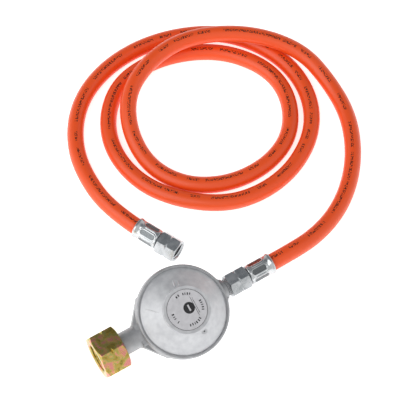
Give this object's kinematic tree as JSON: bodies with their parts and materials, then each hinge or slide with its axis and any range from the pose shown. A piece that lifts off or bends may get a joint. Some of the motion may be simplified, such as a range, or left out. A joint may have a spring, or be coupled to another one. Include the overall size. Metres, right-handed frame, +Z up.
{
  "type": "propane regulator hose",
  "caption": "Round low-pressure gas regulator with a left-hand inlet nut, and an orange rubber gas hose crimped at both ends into swivel fittings.",
  "frame": {"origin": "on the surface the part lies on, under the middle of the regulator's box (hose and hose fittings left out)", "axes": "+Z up; +X along the regulator's port line, the way the gas runs, so the inlet nut opens towards -X; the label leans 22 degrees towards -Y"},
  "size_m": [0.287, 0.2692, 0.0488],
  "materials": {
    "cast_zinc": "cast, matt",
    "cover_zinc": "satin",
    "label": "printed foil, satin",
    "brass": "machined",
    "spring_steel": "drawn wire",
    "steel": "pressed",
    "rubber": "moulded",
    "yellow_zinc": "yellow passivated zinc",
    "bright_zinc": "bright zinc plate",
    "ferrule_zinc": "polished zinc plate",
    "hose_rubber": "smooth, semi-gloss"
  },
  "bodies": {
    "housing": {"body_casting": "cast_zinc", "bonnet_cover": "cover_zinc", "rating_label": "label", "adjusting_plug": "brass", "main_spring": "spring_steel", "diaphragm": "rubber", "lever_pin": "steel", "valve_seat": "brass", "inlet_spigot": "brass", "inlet_seal": "rubber", "inlet_filter": "steel", "regulator_tail": "bright_zinc", "regulator_ferrule": "ferrule_zinc", "hose": "hose_rubber", "free_ferrule": "ferrule_zinc", "free_tail": "bright_zinc"},
    "diaphragm_stack": {"diaphragm_plate": "steel", "lower_washer": "steel", "diaphragm_stem": "brass", "stem_lock_washer": "spring_steel"},
    "lever_arm": {"lever": "steel"},
    "valve": {"valve_holder": "brass", "valve_pad": "rubber"},
    "inlet_nut_body": {"inlet_nut": "yellow_zinc"},
    "regulator_nut_body": {"regulator_union_nut": "bright_zinc"},
    "free_nut_body": {"free_union_nut": "bright_zinc"}
  },
  "joints": [
    {"name": "diaphragm_lift", "type": "slide", "parent": "housing", "child": "diaphragm_stack", "axis": [0, -0.3746, 0.9272], "range_m": [0, 0.003], "stiffness_N_per_m": 1000, "springref_m": -0.003, "deforming": ["main_spring", "diaphragm"]},
    {"name": "lever_swing", "type": "hinge", "parent": "housing", "child": "lever_arm", "pos_m": [-0.00185, 0.00522, 0.01222], "axis": [0, -0.9272, -0.3746], "range_deg": [0, 14.5]},
    {"name": "valve_slide", "type": "slide", "parent": "housing", "child": "valve", "axis": [-1, 0, 0], "range_m": [0, 0.00133]},
    {"name": "inlet_nut_turn", "type": "hinge", "parent": "housing", "child": "inlet_nut_body", "pos_m": [-0.05085, 0.00323, 0.01713], "axis": [1, 0, 0], "continuous": true},
    {"name": "regulator_nut_turn", "type": "hinge", "parent": "housing", "child": "regulator_nut_body", "pos_m": [0.05965, 0.00323, 0.01713], "axis": [1, 0, 0], "continuous": true},
    {"name": "free_nut_turn", "type": "hinge", "parent": "housing", "child": "free_nut_body", "pos_m": [0.03267, 0.05844, 0.0088], "axis": [-0.4384, 0.8988, 0], "continuous": true}
  ],
  "couplings": [
    {"joint": "lever_swing", "follows": "diaphragm_lift", "rad_per_m": 84},
    {"joint": "valve_slide", "follows": "diaphragm_lift", "ratio": 0.4405}
  ]
}
